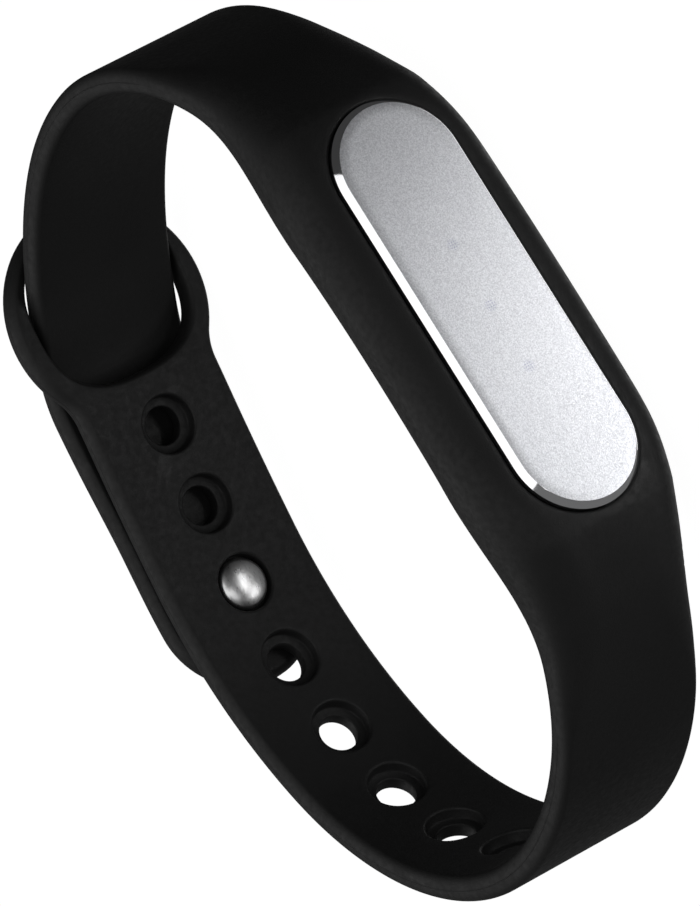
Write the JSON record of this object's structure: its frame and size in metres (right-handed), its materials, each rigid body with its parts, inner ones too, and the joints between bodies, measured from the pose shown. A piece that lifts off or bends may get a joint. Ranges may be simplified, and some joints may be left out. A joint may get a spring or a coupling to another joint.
{
  "type": "fitness tracker band",
  "caption": "Closed silicone wristband with a loop and stud closure, holding an oval activity tracker capsule with a metal face plate.",
  "frame": {"origin": "middle of the band's outer box, on the surface it lies on", "axes": "+Z is the wrist's axis, the band lying on its side; the tracker's face looks towards -Y and the loop is towards +X"},
  "size_m": [0.0704, 0.058, 0.0178],
  "materials": {
    "silicone": "matte moulded silicone",
    "aluminium": "bead blasted face, polished edge",
    "steel": "bright",
    "housing": "satin polycarbonate",
    "clear": "translucent",
    "board": "solder mask",
    "chip": "moulded epoxy",
    "ceramic": "ceramic",
    "gold": "gold plated",
    "foil": "laminated foil",
    "tape": "polyimide adhesive film",
    "red_wire": "insulated wire",
    "black_wire": "insulated wire",
    "tungsten": "sintered weight"
  },
  "bodies": {
    "band": {"pocket_frame": "silicone", "hole_strap": "silicone", "strap_loop": "silicone", "stud_strap": "silicone"},
    "capsule": {"housing": "housing", "face_plate": "aluminium", "plate_gasket": "tape", "light_guide": "clear", "circuit_board": "board", "led_1": "clear", "led_2": "clear", "led_3": "clear", "bluetooth_chip": "chip", "flash_memory": "chip", "crystal": "foil", "accelerometer": "chip", "charger_chip": "chip", "antenna": "ceramic", "battery_tape": "tape", "battery_cell": "foil", "battery_board": "board", "battery_lead_red": "red_wire", "battery_lead_black": "black_wire", "motor_base": "steel", "motor_case": "steel", "motor_shaft": "steel", "motor_lead_1": "red_wire", "motor_lead_2": "black_wire", "contact_pin_1": "gold", "contact_pin_2": "gold", "contact_spring_1": "gold", "contact_spring_2": "gold"},
    "rotor": {"motor_rotor": "tungsten"},
    "tail_first": {"tail_root": "silicone"},
    "tail_end": {"tail_tip": "silicone", "stud_base": "aluminium", "stud_cap": "aluminium"}
  },
  "joints": [
    {"name": "capsule_release", "type": "slide", "parent": "band", "child": "capsule", "axis": [0, -1, 0], "range_m": [0, 0.012]},
    {"name": "motor_spin", "type": "hinge", "parent": "capsule", "child": "rotor", "pos_m": [0.0129, -0.0233, 0.0089], "axis": [0, 1, 0], "continuous": true},
    {"name": "tail_peel", "type": "hinge", "parent": "band", "child": "tail_first", "pos_m": [0.01623, 0.02563, 0.0089], "axis": [0, 0, -1], "range_deg": [0, 70], "stiffness_Nm_per_rad": 0.0005},
    {"name": "tail_curl", "type": "hinge", "parent": "tail_first", "child": "tail_end", "pos_m": [0.00958, 0.02681, 0.0089], "axis": [0, 0, -1], "range_deg": [0, 70], "stiffness_Nm_per_rad": 0.0003}
  ],
  "couplings": [
    {"joint": "tail_curl", "follows": "tail_peel", "ratio": 1}
  ]
}
